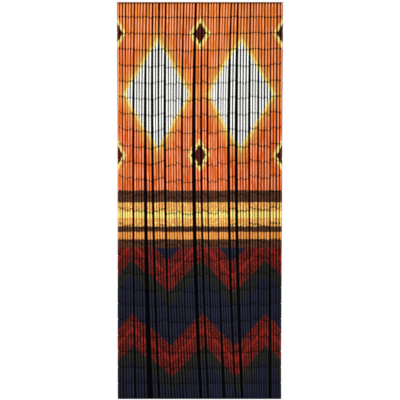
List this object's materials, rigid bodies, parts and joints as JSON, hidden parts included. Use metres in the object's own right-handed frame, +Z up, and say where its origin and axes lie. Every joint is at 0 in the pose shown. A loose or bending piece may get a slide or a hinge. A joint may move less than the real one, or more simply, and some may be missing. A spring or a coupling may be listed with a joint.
{
  "type": "bamboo strand door curtain",
  "caption": "Door curtain of bamboo tubes linked end to end into strands that hang side by side from a narrow head strip.",
  "frame": {"origin": "middle of the head strip's top face, where the curtain is hung", "axes": "+X to the right as seen from the front, +Y to the back, +Z up; the strands hang down along -Z"},
  "size_m": [0.9, 0.022, 2.15],
  "materials": {
    "painted_bamboo": "satin paint on bamboo, orange with white, yellow, brown and dark red areas",
    "cut_bamboo": "bare bamboo at the sawn ends and in the bores of the tubes",
    "link_wire": "dull galvanised wire",
    "strip_wood": "stained wood"
  },
  "bodies": {
    "root": {"strand_curtain": "painted_bamboo"}
  },
  "joints": []
}
